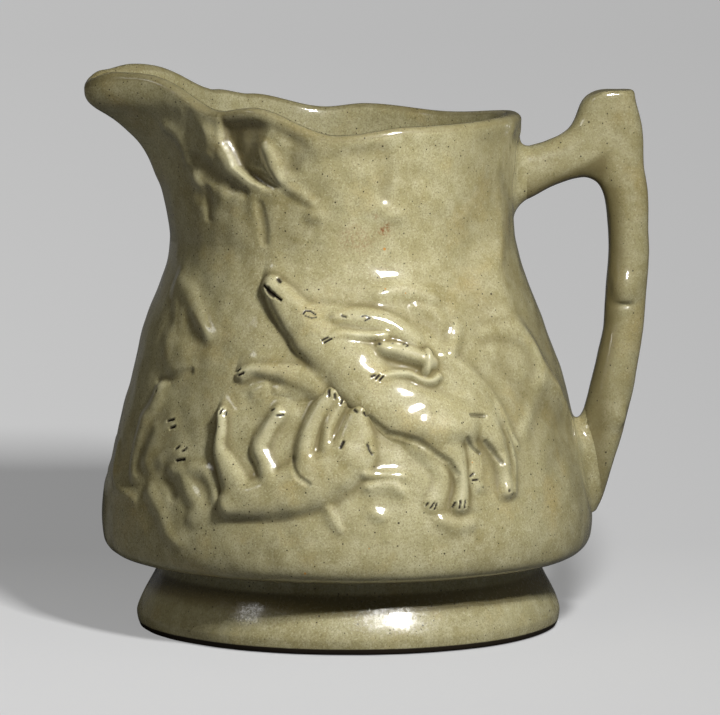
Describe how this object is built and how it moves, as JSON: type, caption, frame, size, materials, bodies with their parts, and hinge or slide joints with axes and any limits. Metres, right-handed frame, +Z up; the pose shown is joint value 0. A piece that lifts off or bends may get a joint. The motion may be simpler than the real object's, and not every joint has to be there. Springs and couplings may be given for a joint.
{
  "type": "pitcher",
  "caption": "Squat glazed stoneware pitcher with a pulled spout, a branch-shaped handle, a moulded foot and a hunting scene in relief.",
  "frame": {"origin": "on the table, at the centre of the flat underside, on the axis of the belly", "axes": "+Z up, -X towards the spout, +X towards the handle, -Y out of the pictured side"},
  "size_m": [0.2255, 0.1944, 0.2265],
  "materials": {
    "glaze": "glossy olive-khaki salt glaze with fine iron specks",
    "bare_clay": "matt unglazed stoneware"
  },
  "bodies": {
    "root": {"foot_ring": "glaze", "floor_disc": "bare_clay", "floor_seam_coil": "glaze", "body_left_half": "glaze", "body_right_half": "glaze", "front_seam_coil": "glaze", "back_seam_coil": "glaze", "handle_branch": "glaze", "upper_luting_collar": "glaze", "lower_luting_collar": "glaze", "left_quarry_sprig": "glaze", "left_fallen_hound_sprig": "glaze", "left_crouching_hound_sprig": "glaze", "left_stump_sprig": "glaze", "left_oak_branch_sprig": "glaze", "left_thicket_sprig": "glaze", "right_quarry_sprig": "glaze", "right_fallen_hound_sprig": "glaze", "right_crouching_hound_sprig": "glaze", "right_stump_sprig": "glaze", "right_oak_branch_sprig": "glaze", "right_thicket_sprig": "glaze"}
  },
  "joints": []
}
